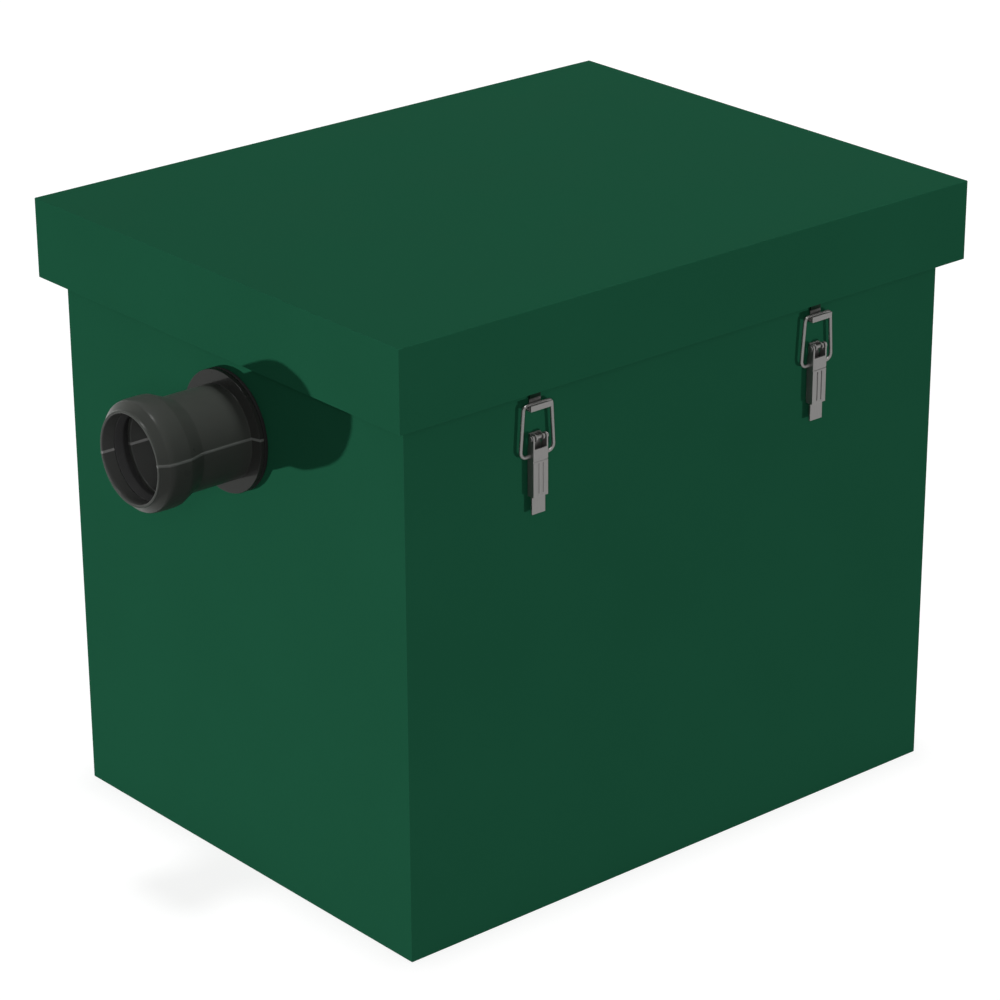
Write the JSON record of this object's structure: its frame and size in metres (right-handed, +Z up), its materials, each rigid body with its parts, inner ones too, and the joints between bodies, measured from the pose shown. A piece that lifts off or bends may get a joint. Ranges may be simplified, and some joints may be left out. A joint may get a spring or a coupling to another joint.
{
  "type": "sink sand trap",
  "caption": "Box-shaped under-sink sand trap in welded green plastic sheet, with a skirted lid, toggle latches and push-fit pipe sockets for waste water.",
  "frame": {"origin": "middle of the tank's underside", "axes": "+X along the tank from inlet to outlet, -Y to the front with the latches in view, +Z up"},
  "size_m": [0.5354, 0.3278, 0.3675],
  "materials": {
    "green_sheet": "matt dark green plastic sheet, sharp cut edges",
    "black_pipe": "satin black moulded pipe plastic",
    "seal_rubber": "matt black rubber",
    "stainless_steel": "satin stainless steel sheet and wire"
  },
  "bodies": {
    "tank": {"floor_plate": "green_sheet", "front_wall": "green_sheet", "rear_wall": "green_sheet", "inlet_wall": "green_sheet", "outlet_wall": "green_sheet", "front_rim": "green_sheet", "rear_rim": "green_sheet", "inlet_rim": "green_sheet", "outlet_rim": "green_sheet", "hanging_baffle": "green_sheet", "outlet_weir": "green_sheet", "lid_plate": "green_sheet", "front_skirt": "green_sheet", "rear_skirt": "green_sheet", "inlet_skirt": "green_sheet", "outlet_skirt": "green_sheet", "lid_gasket": "seal_rubber", "inlet_socket": "black_pipe", "inlet_lip_seal": "seal_rubber", "inlet_wall_gasket": "seal_rubber", "inlet_back_nut": "black_pipe", "outlet_socket": "black_pipe", "outlet_lip_seal": "seal_rubber", "outlet_wall_gasket": "seal_rubber", "outlet_back_nut": "black_pipe", "front_inlet_latch_base": "stainless_steel", "front_inlet_latch_pin": "stainless_steel", "front_inlet_latch_keeper": "stainless_steel", "front_outlet_latch_base": "stainless_steel", "front_outlet_latch_pin": "stainless_steel", "front_outlet_latch_keeper": "stainless_steel", "rear_inlet_latch_base": "stainless_steel", "rear_inlet_latch_pin": "stainless_steel", "rear_inlet_latch_keeper": "stainless_steel", "rear_outlet_latch_base": "stainless_steel", "rear_outlet_latch_pin": "stainless_steel", "rear_outlet_latch_keeper": "stainless_steel"},
    "front_inlet_lever": {"front_inlet_latch_lever": "stainless_steel"},
    "front_inlet_bail": {"front_inlet_latch_bail": "stainless_steel"},
    "front_outlet_lever": {"front_outlet_latch_lever": "stainless_steel"},
    "front_outlet_bail": {"front_outlet_latch_bail": "stainless_steel"},
    "rear_inlet_lever": {"rear_inlet_latch_lever": "stainless_steel"},
    "rear_inlet_bail": {"rear_inlet_latch_bail": "stainless_steel"},
    "rear_outlet_lever": {"rear_outlet_latch_lever": "stainless_steel"},
    "rear_outlet_bail": {"rear_outlet_latch_bail": "stainless_steel"}
  },
  "joints": [
    {"name": "front_inlet_lever_hinge", "type": "hinge", "parent": "tank", "child": "front_inlet_lever", "pos_m": [-0.1104, -0.1566, 0.2909], "axis": [-1, 0, 0], "range_deg": [0, 90]},
    {"name": "front_inlet_bail_hinge", "type": "hinge", "parent": "front_inlet_lever", "child": "front_inlet_bail", "pos_m": [-0.1104, -0.1553, 0.2805], "axis": [-1, 0, 0], "range_deg": [-70, 0]},
    {"name": "front_outlet_lever_hinge", "type": "hinge", "parent": "tank", "child": "front_outlet_lever", "pos_m": [0.1002, -0.1566, 0.2909], "axis": [-1, 0, 0], "range_deg": [0, 90]},
    {"name": "front_outlet_bail_hinge", "type": "hinge", "parent": "front_outlet_lever", "child": "front_outlet_bail", "pos_m": [0.1002, -0.1553, 0.2805], "axis": [-1, 0, 0], "range_deg": [-70, 0]},
    {"name": "rear_inlet_lever_hinge", "type": "hinge", "parent": "tank", "child": "rear_inlet_lever", "pos_m": [-0.1104, 0.1566, 0.2909], "axis": [1, 0, 0], "range_deg": [0, 90]},
    {"name": "rear_inlet_bail_hinge", "type": "hinge", "parent": "rear_inlet_lever", "child": "rear_inlet_bail", "pos_m": [-0.1104, 0.1553, 0.2805], "axis": [1, 0, 0], "range_deg": [-70, 0]},
    {"name": "rear_outlet_lever_hinge", "type": "hinge", "parent": "tank", "child": "rear_outlet_lever", "pos_m": [0.1002, 0.1566, 0.2909], "axis": [1, 0, 0], "range_deg": [0, 90]},
    {"name": "rear_outlet_bail_hinge", "type": "hinge", "parent": "rear_outlet_lever", "child": "rear_outlet_bail", "pos_m": [0.1002, 0.1553, 0.2805], "axis": [1, 0, 0], "range_deg": [-70, 0]}
  ],
  "couplings": [
    {"joint": "front_inlet_bail_hinge", "follows": "front_inlet_lever_hinge", "ratio": -0.73},
    {"joint": "front_outlet_bail_hinge", "follows": "front_outlet_lever_hinge", "ratio": -0.73},
    {"joint": "rear_inlet_bail_hinge", "follows": "rear_inlet_lever_hinge", "ratio": -0.73},
    {"joint": "rear_outlet_bail_hinge", "follows": "rear_outlet_lever_hinge", "ratio": -0.73}
  ]
}
